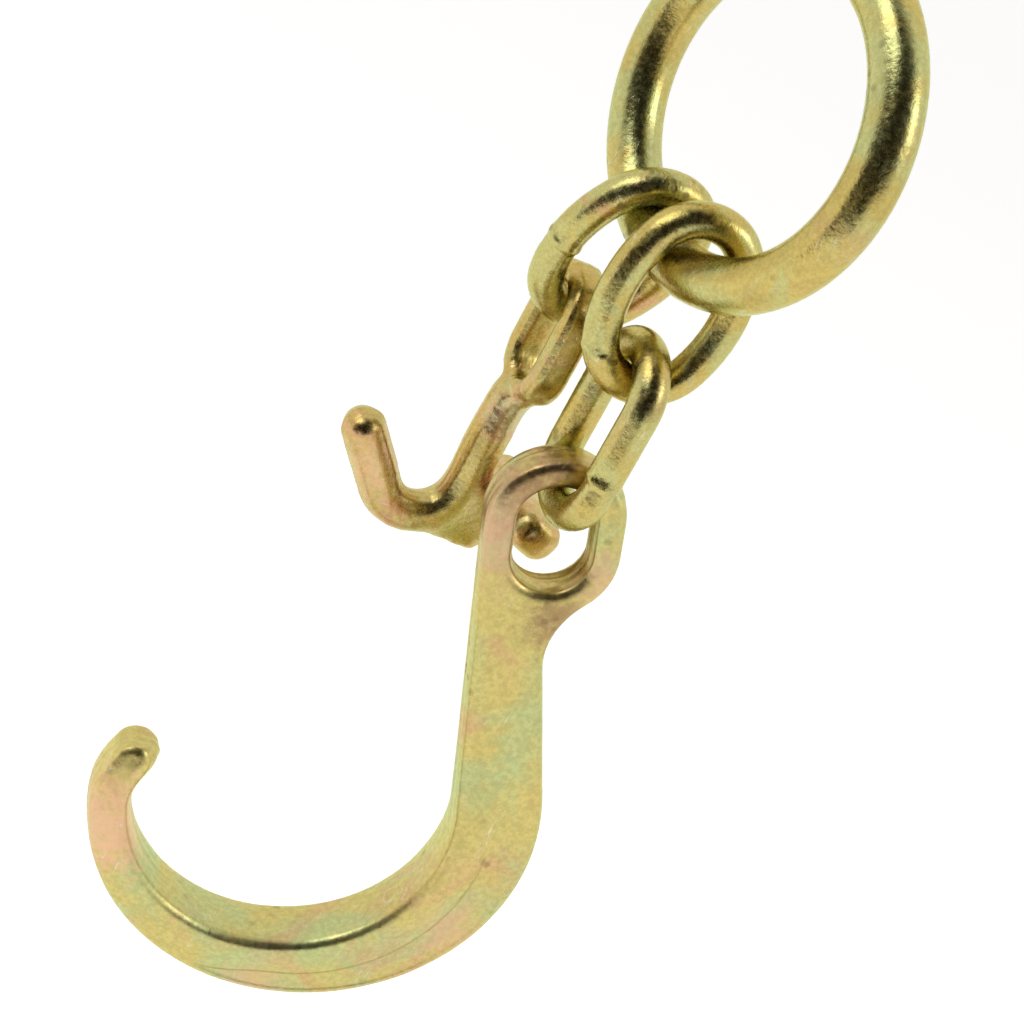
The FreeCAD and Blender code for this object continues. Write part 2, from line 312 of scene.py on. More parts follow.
def forged_grain_group() -> bpy.types.NodeTree:
    """Builds the grain of a blasted and forged steel skin.

    Returns:
        The node group, with a height, a roughness and a pit mask.
    """
    group = EffectGroup(
        "forged_grain",
        {
            "Vector": None,
            "Grain Scale": 900.0,
            "Pit Scale": 260.0,
            "Pits": 0.5,
            "Low Roughness": 0.26,
            "High Roughness": 0.5,
        },
        {"Height": "Float", "Roughness": "Float", "Pit": "Float"},
    )
    nodes, given = group.nodes, group.given
    vector, scale = given["Vector"], given["Grain Scale"]
    grain = nodes.noise_of(vector, Scale=scale, Detail=4.0, Roughness=0.62)
    wave_scale = nodes.sum_of("MULTIPLY", scale, WAVE_COARSENESS)
    wave = nodes.noise_of(vector, Scale=wave_scale, Detail=3.0, Roughness=0.5)
    cells = nodes.add("TexVoronoi", {"Vector": vector, "Scale": given["Pit Scale"]}).outputs["Distance"]
    patch_scale = nodes.sum_of("MULTIPLY", given["Pit Scale"], PIT_PATCH_COARSENESS)
    patches = nodes.noise_of(vector, Scale=patch_scale, Detail=2.0)
    hollow = nodes.window(cells, low=0.34, high=0.12)
    pitted = nodes.sum_of("MULTIPLY", hollow, nodes.window(patches, low=0.52, high=0.7))
    pit = nodes.sum_of("MULTIPLY", pitted, given["Pits"])
    height = nodes.sum_of("ADD", grain, nodes.sum_of("MULTIPLY", wave, WAVE_HEIGHT))
    group.put("Height", nodes.sum_of("SUBTRACT", height, nodes.sum_of("MULTIPLY", pit, PIT_DEPTH)))
    spans = {0: grain, 1: GRAIN_LOW, 2: GRAIN_HIGH, 3: given["Low Roughness"], 4: given["High Roughness"]}
    rough = nodes.add("MapRange", spans).outputs[0]
    group.put("Roughness", nodes.sum_of("ADD", rough, nodes.sum_of("MULTIPLY", pit, PIT_ROUGHNESS)))
    group.put("Pit", pit)
    return group.tree


def scratches_group() -> bpy.types.NodeTree:
    """Builds short scratches that run mostly one way.

    Returns:
        The node group, with a mask.
    """
    group = EffectGroup(
        "scratches",
        {"Vector": None, "Stretch": None, "Scale": 420.0, "Amount": 0.6},
        {"Mask": "Float"},
    )
    nodes, given = group.nodes, group.given
    stretched = {0: given["Vector"], 1: given["Stretch"]}
    drawn = nodes.add("VectorMath", stretched, operation="MULTIPLY").outputs[0]
    line = nodes.noise_of(drawn, Scale=given["Scale"], Detail=2.0, Roughness=0.5, Distortion=0.25)
    ridge = nodes.sum_of("ABSOLUTE", nodes.sum_of("SUBTRACT", line, NOISE_MIDDLE))
    thin = nodes.window(ridge, low=0.016, high=0.004)
    where = nodes.noise_of(given["Vector"], Scale=95.0, Detail=3.0, Roughness=0.6)
    there = nodes.window(where, low=0.56, high=0.68, top=given["Amount"])
    group.put("Mask", nodes.sum_of("MULTIPLY", thin, there))
    return group.tree


SPOT_RAGGEDNESS = 2.2


def tint_and_shade_spot_group() -> bpy.types.NodeTree:
    """Builds a spot of its own colour round one place on a piece: patches of another film colour, and dark spots
    of painted shade.

    Returns:
        The node group, with a mask.
    """
    group = EffectGroup(
        "tint_and_shade_spot", {"Vector": None, "Place": None, "Reach": 0.01, "Amount": 0.7}, {"Mask": "Float"}
    )
    nodes, given = group.nodes, group.given
    ends = {0: given["Vector"], 1: given["Place"]}
    away = nodes.add("VectorMath", ends, operation="DISTANCE").outputs["Value"]
    ragged = nodes.noise_of(given["Vector"], Scale=420.0, Detail=4.0, Roughness=0.7)
    share = nodes.sum_of("DIVIDE", away, given["Reach"])
    uneven = nodes.sum_of("MULTIPLY", nodes.sum_of("SUBTRACT", ragged, NOISE_MIDDLE), SPOT_RAGGEDNESS)
    share = nodes.sum_of("ADD", share, uneven)
    group.put("Mask", nodes.window(share, low=1.2, high=0.05, top=given["Amount"]))
    return group.tree


@dataclass(frozen=True)
class Tone:
    """A spot of the surface that has its own colour: a patch of another film colour, or a dark spot of painted
    shade.

    Attributes:
        place: The middle of the spot.
        reach: How far it goes.
        colour: Its colour.
        amount: How strongly it shows.
    """

    place: Vector
    reach: float
    colour: Colour
    amount: float


@dataclass(frozen=True)
class YellowZinc:
    """A finish of chromated zinc plate over steel.

    Attributes:
        name: The material's name.
        gold: The film's main colour.
        green: How much of the green film shows.
        pink: How much of the pink film shows.
        brown: How much of the brown film shows.
        patch_scale: How many colour patches there are to a metre.
        low_rough: Roughness on the high grains.
        high_rough: Roughness between them.
        grain_scale: How many grains there are to a metre.
        grain_depth: How deep the grain is.
        pits: How strong the pits are.
        scratch: How strong the scratches are.
        scratch_depth: How deep they are, as a share of the grain's height.
        scratch_colour: The bare metal in them.
        pit_colour: The dark in the pits.
        stretch: How the scratches are drawn out.
        tones: Spots with their own colour; the dark ones are painted shade.
    """

    name: str
    gold: Colour = (0.6, 0.47, 0.14)
    green: float = 0.6
    pink: float = 0.45
    brown: float = 0.35
    patch_scale: float = 60.0
    low_rough: float = 0.17
    high_rough: float = 0.36
    grain_scale: float = 900.0
    grain_depth: float = 0.00009
    pits: float = 0.5
    scratch: float = 0.3
    scratch_depth: float = 0.8
    scratch_colour: Colour = (0.86, 0.85, 0.8)
    pit_colour: Colour = (0.12, 0.08, 0.035)
    stretch: tuple[float, float, float] = (1.0, 1.0, 0.08)
    tones: tuple[Tone, ...] = ()

    def material(self, groups: dict[str, bpy.types.NodeTree]) -> bpy.types.Material:
        """Makes the material.

        Args:
            groups: The shared effects by name.

        Returns:
            The new material.
        """
        made = bpy.data.materials.new(self.name)
        made.use_nodes = True
        nodes = Nodes(made.node_tree)
        vector = nodes.add("TexCoord").outputs["Object"]

        def effect(name: str, inputs: dict) -> bpy.types.Node:
            """Places a shared effect on the piece's own coordinates.

            Args:
                name: The effect's name.
                inputs: A value, or a socket to join, for each of its inputs.

            Returns:
                The group's node.
            """
            node = nodes.add("Group", node_tree=groups[name])
            for label, value in {"Vector": vector, **inputs}.items():
                if isinstance(value, bpy.types.NodeSocket):
                    nodes.tree.links.new(value, node.inputs[label])
                else:
                    node.inputs[label].default_value = value
            return node

        tint = effect(
            "plating_tint",
            {
                "Patch Scale": self.patch_scale,
                "Gold": (*self.gold, 1.0),
                "Green": self.green,
                "Pink": self.pink,
                "Brown": self.brown,
            },
        )
        grain = effect(
            "forged_grain",
            {
                "Grain Scale": self.grain_scale,
                "Pits": self.pits,
                "Low Roughness": self.low_rough,
                "High Roughness": self.high_rough,
            },
        )
        scratch = effect("scratches", {"Stretch": self.stretch, "Amount": self.scratch}).outputs["Mask"]
        colour = nodes.blend(grain.outputs["Pit"], tint.outputs["Color"], self.pit_colour)
        # Spots of their own colour: patches of another film colour, and on the hooks dark spots of painted shade.
        for tone in self.tones:
            spot = effect("tint_and_shade_spot", {"Place": tone.place, "Reach": tone.reach, "Amount": tone.amount})
            colour = nodes.blend(spot.outputs["Mask"], colour, tone.colour)
        colour = nodes.blend(scratch, colour, self.scratch_colour)
        cut = nodes.sum_of("MULTIPLY", scratch, self.scratch_depth)
        height = nodes.sum_of("SUBTRACT", grain.outputs["Height"], cut)
        bump = nodes.add("Bump", {"Strength": 1.0, "Distance": self.grain_depth, "Height": height})
        shader = nodes.add(
            "BsdfPrincipled",
            {
                "Base Color": colour,
                "Metallic": 1.0,
                "Roughness": grain.outputs["Roughness"],
                "Normal": bump.outputs["Normal"],
                "Specular Tint": (0.93, 1.0, 0.74, 1.0),
                "Coat Weight": 0.12,
                "Coat Roughness": 0.22,
                "Coat IOR": 1.45,
            },
        )
        nodes.add("OutputMaterial", {"Surface": shader.outputs[0]})
        return made


# ---------------------------------------------------------------- skins and tool marks


@dataclass
class Skin:
    """An even skin on a CAD node, which the tool marks are worked into.

    Attributes:
        node: The CAD node that it stands for.
        body: The body that it rides on.
        slot: The record's slot for its finish. Not used.
        cell: The size of its quads.
        merge: Points of the CAD mesh that are closer than this become one.
        evening: How strongly the quads are evened out.
        ease_shares: The share of its reach that each easing of a flow covers.
        ease_rounds: How many times each easing smooths.
        polish: How strongly the worked skin is smoothed at the end.
    """

    node: str
    body: str
    slot: Slot
    cell: float
    merge: float = 1e-6
    evening: float = 0.5
    ease_shares: tuple[float, ...] = (1.0, 0.85, 0.7)
    ease_rounds: int = 40
    polish: float = 0.25

    def build(
        self,
        touches: list[Touch],
        finish: bpy.types.Material,
        flows: tuple[tuple[Vector, float], ...] = (),
        shifts: tuple[Shift, ...] = (),
    ) -> None:
        """Lays the skin, works the touches into it and dresses it.

        Args:
            touches: Functions of a point and its normal that give how far it moves along the normal.
            finish: The material to dress it with.
            flows: The middle and reach of each place where the forging flows from one shape to the next.
            shifts: Functions that give how far a point moves, whatever its normal.
        """
        shape = bmesh.new()
        shape.from_mesh(frame["nodes"][self.node].data)
        bmesh.ops.remove_doubles(shape, verts=shape.verts, dist=self.merge)
        surface = BVHTree.FromBMesh(shape)
        mesh = bpy.data.meshes.new(self.node + "_skin")
        shape.to_mesh(mesh)
        shape.free()
        piece = bpy.data.objects.new(self.node + "_finished", mesh)
        bpy.context.scene.collection.objects.link(piece)
        even = piece.modifiers.new("even_quads", "REMESH")
        even.mode = "VOXEL"
        even.voxel_size = self.cell
        seen = piece.evaluated_get(bpy.context.evaluated_depsgraph_get())
        piece.data = bpy.data.meshes.new_from_object(seen)
        piece.modifiers.clear()
        self.work(piece.data, surface, touches, flows, shifts)
        piece.data.materials.clear()
        piece.data.materials.append(finish)
        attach(piece, self.body)
        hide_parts(self.node)
        LOG.info("%s: %d faces", piece.name, len(piece.data.polygons))

    def work(
        self,
        mesh: bpy.types.Mesh,
        surface: BVHTree,
        touches: list[Touch],
        flows: tuple[tuple[Vector, float], ...],
        shifts: tuple[Shift, ...],
    ) -> None:
        """Pulls a skin onto the CAD surface and then works the flows and the touches into it.

        Args:
            mesh: The skin's mesh.
            surface: The CAD surface.
            touches: Functions that give how far a point moves along its normal.
            flows: The middle and reach of each place that is eased.
            shifts: Functions that give how far a point moves, whatever its normal.
        """
        axes = {"use_axis_x": True, "use_axis_y": True, "use_axis_z": True}
        skin = bmesh.new()
        skin.from_mesh(mesh)
        bmesh.ops.smooth_vert(skin, verts=skin.verts, factor=self.evening, **axes)
        for vert in skin.verts:
            vert.co = surface.find_nearest(vert.co)[0]
        for share in self.ease_shares:
            for place, reach in flows:
                eased = [v for v in skin.verts if (v.co - place).length < reach * share]
                for _ in range(self.ease_rounds):
                    bmesh.ops.smooth_vert(skin, verts=eased, factor=self.evening, **axes)
        skin.normal_update()
        moves = [sum(touch(v.co, v.normal) for touch in touches) for v in skin.verts]
        for vert, move in zip(skin.verts, moves):
            vert.co += vert.normal * move
            vert.co += sum((shift(vert.co) for shift in shifts), Vector())
        bmesh.ops.smooth_vert(skin, verts=skin.verts, factor=self.polish, **axes)
        for face in skin.faces:
            face.smooth = True
        skin.to_mesh(mesh)
        skin.free()


DENT_MIDDLE, BROAD_DENTS, FINE_DENTS = 0.5, 0.35, 0.15  # shares of a dent's depth
FINE_DENT_SIZE = 0.31  # of a broad dent's size
EDGE_START, EDGE_END = 0.25, 0.6  # how squarely a face has to look out to be an edge
FLASH_WAVE = 4 * MM
FLASH_RAGGEDNESS = 0.5
LUMP_END = 3  # in reaches


def dents(depth: float, size: float) -> Touch:
    """Makes broad shallow dents.

    Args:
        depth: How deep the deepest one is.
        size: How far apart they are.

    Returns:
        The touch.
    """

    def touch(point: Vector, _normal: Vector) -> float:
        """Gives how far the dents move a point.

        Args:
            point: The point.
            _normal: Its normal, which doesn't matter here.

        Returns:
            The move along the normal.
        """
        broad = noise.noise(point / size)
        fine = noise.noise(point / (size * FINE_DENT_SIZE))
        return -depth * (DENT_MIDDLE + BROAD_DENTS * broad + FINE_DENTS * fine)

    return touch


def parting_line(across: Vector, level: float, depth: float, width: float) -> Touch:
    """Leaves the trimmed flash of a forging die standing along the middle of the edges.

    Args:
        across: The unit direction in which the die closed.
        level: Where the die parts along that direction.
        depth: How far the line stands above its sides.
        width: Half the line's width.

    Returns:
        The touch.
    """

    def touch(point: Vector, normal: Vector) -> float:
        """Lowers the edge's surface beside the line.

        Args:
            point: The point.
            normal: Its normal.

        Returns:
            The move along the normal.
        """
        away = point.dot(across) - level
        on_edge = smooth(1 - abs(normal.dot(across)), EDGE_START, EDGE_END)
        ragged = 1 + FLASH_RAGGEDNESS * noise.noise(point / FLASH_WAVE)
        return -depth * on_edge * (1 - bell(away, width * ragged))

    return touch


@dataclass(frozen=True)
class Lump:
    """One rounded bump on a forging, or a hollow with a negative height.

    Attributes:
        offset: From a known place of the forging to the bump's middle.
        reach: How far it goes.
        height: How high it is.
    """

    offset: Vector
    reach: float
    height: float

    def touch(self, start: Vector) -> Touch:
        """Makes the bump's touch.

        Args:
            start: The place that the offset is measured from.

        Returns:
            The touch.
        """
        place = start + self.offset

        def raised(point: Vector, _normal: Vector) -> float:
            """Gives the bump's height at a point.

            Args:
                point: The point.
                _normal: Its normal, which doesn't matter here.

            Returns:
                The move along the normal.
            """
            away = (point - place).length
            return self.height * bell(away, self.reach) if away < LUMP_END * self.reach else 0.0

        return raised


@dataclass
class Weld:
    """The butt weld of a link.

    Attributes:
        leg: The leg that it is on.
        along: How far it is below the link's middle.
        upset: How far the bead stands.
        step: How far the bar beyond the weld is set in.
        face: The direction that the trimmed flat on the bead faces.
        bead: Half the bead's width.
        bead_middle: The part of the bead's height that is the same all round.
        bead_uneven: The part that comes and goes.
        wave: How long the bead's waves are.
        wander: How far the bead strays along the bar.
        flat_depth: How deep the flat is trimmed.
        flat_back: How far the flat's middle is before the bead.
        flat_reach: Half the flat's length.
        flat_turn: Where the flat starts and is full, by how squarely the bar faces it.
        step_start: Where the set-in starts and is full, past the bead.
        step_end: Where it eases and ends.
    """

    leg: Leg
    along: float
    upset: float
    step: float
    face: Vector
    bead: float = 1.0 * MM
    bead_middle: float = 0.75
    bead_uneven: float = 0.5
    wave: float = 1.7 * MM
    wander: float = 0.5 * MM
    flat_depth: float = 0.45 * MM
    flat_back: float = 1.6 * MM
    flat_reach: float = 2.6 * MM
    flat_turn: tuple[float, float] = (0.55, 0.95)
    step_start: tuple[float, float] = (0.3 * MM, 1.1 * MM)
    step_end: tuple[float, float] = (3 * MM, 7 * MM)

    def touch(self, middle: Vector, side: Vector, down: Vector) -> Touch:
        """Makes the weld's touch.

        Args:
            middle: The middle of the link.
            side: The unit direction across the link.
            down: The unit direction along the link.

        Returns:
            The touch.
        """

        def worked(point: Vector, normal: Vector) -> float:
            """Gives how far the weld moves a point.

            Args:
                point: The point.
                normal: Its normal.

            Returns:
                The move along the normal.
            """
            if (point - middle).dot(side) * self.leg.value < 0:
                return 0.0
            away = (point - middle).dot(down) - self.along
            ragged = noise.noise(point / self.wave)
            away += self.wander * ragged
            bead = self.upset * bell(away, self.bead) * (self.bead_middle + self.bead_uneven * ragged)
            flat = smooth(normal.dot(self.face), *self.flat_turn)
            flat *= bell(away + self.flat_back, self.flat_reach)
            set_in = self.step * smooth(away, *self.step_start) * (1 - smooth(away, *self.step_end))
            return bead - self.flat_depth * flat - set_in

        return worked


# ---------------------------------------------------------------- the pieces


@dataclass
class PullRing:
    """The welded ring that everything hangs from. It keeps its CAD surface."""

    finish: YellowZinc

    def build(self, groups: dict[str, bpy.types.NodeTree]) -> None:
        """Dresses the ring.

        Args:
            groups: The shared effects by name.
        """
        ring = frame["nodes"]["ring"]
        ring.data.materials.clear()
        ring.data.materials.append(self.finish.material(groups))
        LOG.info("ring: CAD surface, dressed")


@dataclass
class LinkPiece:
    """A link of round bar, bent and butt welded.

    Attributes:
        node: Its CAD node and body.
        weld: Its weld.
        side: The unit direction across it.
        down: The unit direction along it.
        finish: Its finish.
        cell: The size of its skin's quads.
        dent_depth: How deep its dents are.
        dent_size: How far apart they are.
    """

    node: str
    weld: Weld
    side: Vector
    down: Vector
    finish: YellowZinc
    cell: float = 0.42 * MM
    dent_depth: float = 0.07 * MM
    dent_size: float = 5 * MM

    def build(self, groups: dict[str, bpy.types.NodeTree]) -> None:
        """Makes the link.

        Args:
            groups: The shared effects by name.
        """
        middle = middle_of(self.node)
        touches = [dents(self.dent_depth, self.dent_size), self.weld.touch(middle, self.side, self.down)]
        Skin(self.node, self.node, Slot.LINK, self.cell).build(touches, self.finish.material(groups))


@dataclass
class JHook:
    """The forged J hook with a flat shank and a round bowl.

    Attributes:
        finish: Its finish.
        cell: The size of its skin's quads.
        bowl_radius: The radius of the bowl's inside.
        back_radius: The radius of the bowl's outside.
        back_shift: From the bowl's centre to the back's.
        face_depth: How deep the crescent in its face is.
        rim: How wide the rim outside the crescent is.
        crescent: How wide the crescent is at its widest.
        swell: How much thicker the bowl's inside is than its back, as a share.
        shank_lean: How far the shank's inner edge leans, in degrees.
        tip_nod: How far the tip bends in over the bowl.
        crescent_room: The angles round the bowl that the crescent lies between, in degrees.
        crescent_inset: How far in from the back it can reach.
        crescent_start: The angles where it sinks in.
        crescent_grow: The angles where it gets its width.
        crescent_widen: The angles where it gets wider still.
        crescent_more: How much wider, as a share of its width.
        crescent_end: The angles where it rises out.
        outer_slope: How long the slope at its outer side is.
        inner_slope: How long the slope at its inner side is.
        face_turn: Where a face starts and is fully a side face, by how squarely it looks out.
        swell_start: The angles where the swelling starts, in degrees.
        swell_end: The angles where it ends.
        swell_fade: Where it fades out, from the bowl's inside.
        tip_side: How far left of the bowl's middle the tip starts.
        tip_rise: The heights over which the tip bends.
        nose_in: From the hook's left side to the middle of its nose.
        nose_drop: From the bowl's middle down to the nose's middle.
        tip_lumps: The bumps and hollows round the nose.
    """

    finish: YellowZinc
    cell: float = 0.52 * MM
    bowl_radius: float = 39.2 * MM
    back_radius: float = 56.3 * MM
    back_shift: Vector = Vector((7.02, 0.0, -1.18)) * MM
    face_depth: float = 0.55 * MM
    rim: float = 2.2 * MM
    crescent: float = 5.4 * MM
    swell: float = 0.5
    shank_lean: float = 18.9
    tip_nod: float = 3.2 * MM
    crescent_room: tuple[float, float] = (-20, 112)
    crescent_inset: float = 17 * MM
    crescent_start: tuple[float, float] = (-16, -12)
    crescent_grow: tuple[float, float] = (-16, 10)
    crescent_widen: tuple[float, float] = (10, 95)
    crescent_more: float = 0.8
    crescent_end: tuple[float, float] = (94, 110)
    outer_slope: float = 0.6 * MM
    inner_slope: float = 1.1 * MM
    face_turn: tuple[float, float] = (0.55, 0.8)
    swell_start: tuple[float, float] = (-112, -40)
    swell_end: tuple[float, float] = (75, 140)
    swell_fade: tuple[float, float] = (3 * MM, 15 * MM)
    tip_side: float = 25 * MM
    tip_rise: tuple[float, float] = (-14 * MM, 4 * MM)
    nose_in: float = 9.6 * MM
    nose_drop: float = 0.7 * MM
    tip_lumps: tuple[Lump, ...] = (
        Lump(Vector((5.0, 0, 0.5)) * MM, 6.4 * MM, 3.4 * MM),
        Lump(Vector((-5.0, 0, 3.5)) * MM, 5.5 * MM, -2.2 * MM),
        Lump(Vector((1.5, -5.5, 2.6)) * MM, 3.2 * MM, -1.1 * MM),
    )

    def crescent_touch(self, centre: Vector) -> Touch:
        """Sinks a crescent into both faces of the bowl.

        Args:
            centre: The middle of the bowl.

        Returns:
            The touch.
        """
        back = centre + self.back_shift

        def touch(point: Vector, normal: Vector) -> float:
            """Gives how far the crescent moves a point.

            Args:
                point: The point.
                normal: Its normal.

            Returns:
                The move along the normal.
            """
            arm = Vector((point.x - back.x, 0, point.z - back.z))
            inside = self.back_radius - arm.length
            angle = math.degrees(math.atan2(arm.x, -arm.z))
            first, last = self.crescent_room
            if not first < angle < last or inside > self.crescent_inset:
                return 0.0
            wider = self.crescent_more * smooth(angle, *self.crescent_widen)
            grown = smooth(angle, *self.crescent_grow) + wider
            width = self.rim + self.crescent * grown
            ends = smooth(angle, *self.crescent_start) * (1 - smooth(angle, *self.crescent_end))
            hollow = smooth(inside, self.rim, self.rim + self.outer_slope)
            hollow *= 1 - smooth(inside, width, width + self.inner_slope)
            return -self.face_depth * hollow * ends * smooth(abs(normal.y), *self.face_turn)

        return touch

    def thicken(self, centre: Vector, level: float) -> Shift:
        """Makes the bowl thicker at its inside than at its back, as a forged hook is.

        Args:
            centre: The middle of the bowl.
            level: The middle of the hook's thickness.

        Returns:
            The shift.
        """
        lean = math.radians(self.shank_lean)
        straight = Vector((math.cos(lean), 0, math.sin(lean)))

        def shift(point: Vector) -> Vector:
            """Gives how far a point moves away from the middle of the thickness.

            Args:
                point: The point.

            Returns:
                The move.
            """
            arm = Vector((point.x - centre.x, 0, point.z - centre.z))
            angle = math.degrees(math.atan2(arm.x, -arm.z))
            reach = arm.dot(straight) if angle > 90 + self.shank_lean else arm.length
            along = smooth(angle, *self.swell_start) * (1 - smooth(angle, *self.swell_end))
            share = self.swell * along * (1 - smooth(reach - self.bowl_radius, *self.swell_fade))
            nod = 0.0
            if point.x < centre.x - self.tip_side:
                low, high = self.tip_rise
                nod = self.tip_nod * smooth(point.z, centre.z + low, centre.z + high)
            return Vector((nod, (point.y - level) * share, 0))

        return shift

    def build(self, groups: dict[str, bpy.types.NodeTree]) -> None:
        """Makes the hook.

        Args:
            groups: The shared effects by name.
        """
        low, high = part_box("j_hook")
        level = (low.y + high.y) / 2
        centre = mount_named("j_bowl")
        nose = Vector((low.x + self.nose_in, level, centre.z - self.nose_drop))
        touches = [
            dents(depth=0.16 * MM, size=9 * MM),
            parting_line(Vector((0, 1, 0)), level, depth=0.3 * MM, width=0.55 * MM),
            self.crescent_touch(centre),
            *(mark.touch(nose) for mark in self.tip_lumps),
        ]
        Skin("j_hook", "j_hook", Slot.FORGING, self.cell).build(
            touches, self.finish.material(groups), shifts=(self.thicken(centre, level),)
        )


@dataclass
class RTHook:
    """The forged hook with a round finger on one side and a T head on the other.

    Attributes:
        finish: Its finish.
        cell: The size of its skin's quads.
        eye_rise: From the hinge down to the bottom of the eye's hole.
        turn: How far the hook's plane is turned about the vertical, in degrees.
        eye_lumps: The bumps and hollows below the eye's hole.
        shank_drop: From the bottom of the eye's hole to the middle of the eased shank.
        web_drop: From between the finger and the head to the middle of the eased web.
        shank_ease: How far the easing of the shank reaches.
        web_ease: How far the easing of the web reaches.
        head_ease: How far the easing of the head reaches.
    """

    finish: YellowZinc
    cell: float = 0.45 * MM
    eye_rise: float = 20.8 * MM
    turn: float = 9.0
    eye_lumps: tuple[Lump, ...] = (
        Lump(Vector((-4.0, -3.0, 0.5)) * MM, 2.0 * MM, 0.9 * MM),
        Lump(Vector((1.0, -3.0, -1.0)) * MM, 2.2 * MM, 0.8 * MM),
        Lump(Vector((-8.8, -4.5, 9.2)) * MM, 2.0 * MM, -0.7 * MM),
        Lump(Vector((-8.6, -4.5, 5.0)) * MM, 1.5 * MM, -0.6 * MM),
    )
    shank_drop: float = 5.5 * MM
    web_drop: float = 4 * MM
    shank_ease: float = 10.5 * MM
    web_ease: float = 15 * MM
    head_ease: float = 22 * MM

    def build(self, groups: dict[str, bpy.types.NodeTree]) -> None:
        """Makes the hook.

        Args:
            groups: The shared effects by name.
        """
        hinge, _ = joint_named("rt_hook_swing")
        turn = math.radians(self.turn)
        across = Vector((-math.sin(turn), math.cos(turn), 0))
        level = mount_named("r_peg").dot(across)
        foot = hinge - Vector((0, 0, self.eye_rise))
        touches = [
            dents(depth=0.16 * MM, size=6 * MM),
            parting_line(across, level, depth=0.28 * MM, width=0.5 * MM),
            *(mark.touch(foot) for mark in self.eye_lumps),
        ]
        head = mount_named("t_head")
        flows = (
            (foot - Vector((0, 0, self.shank_drop)), self.shank_ease),
            ((mount_named("r_peg") + head) / 2 - Vector((0, 0, self.web_drop)), self.web_ease),
            (head, self.head_ease),
        )
        skin = Skin("rt_hook", "rt_hook", Slot.FORGING, self.cell)
        skin.build(touches, self.finish.material(groups), flows)


# ---------------------------------------------------------------- studio


@dataclass(frozen=True)
class SoftBox:
    """A square lamp with soft light.

    Attributes:
        name: The lamp's name.
        place: Where it hangs.
        size: Its side.
        power: Its power in watts.
    """

    name: str
    place: Vector
    size: float
    power: float


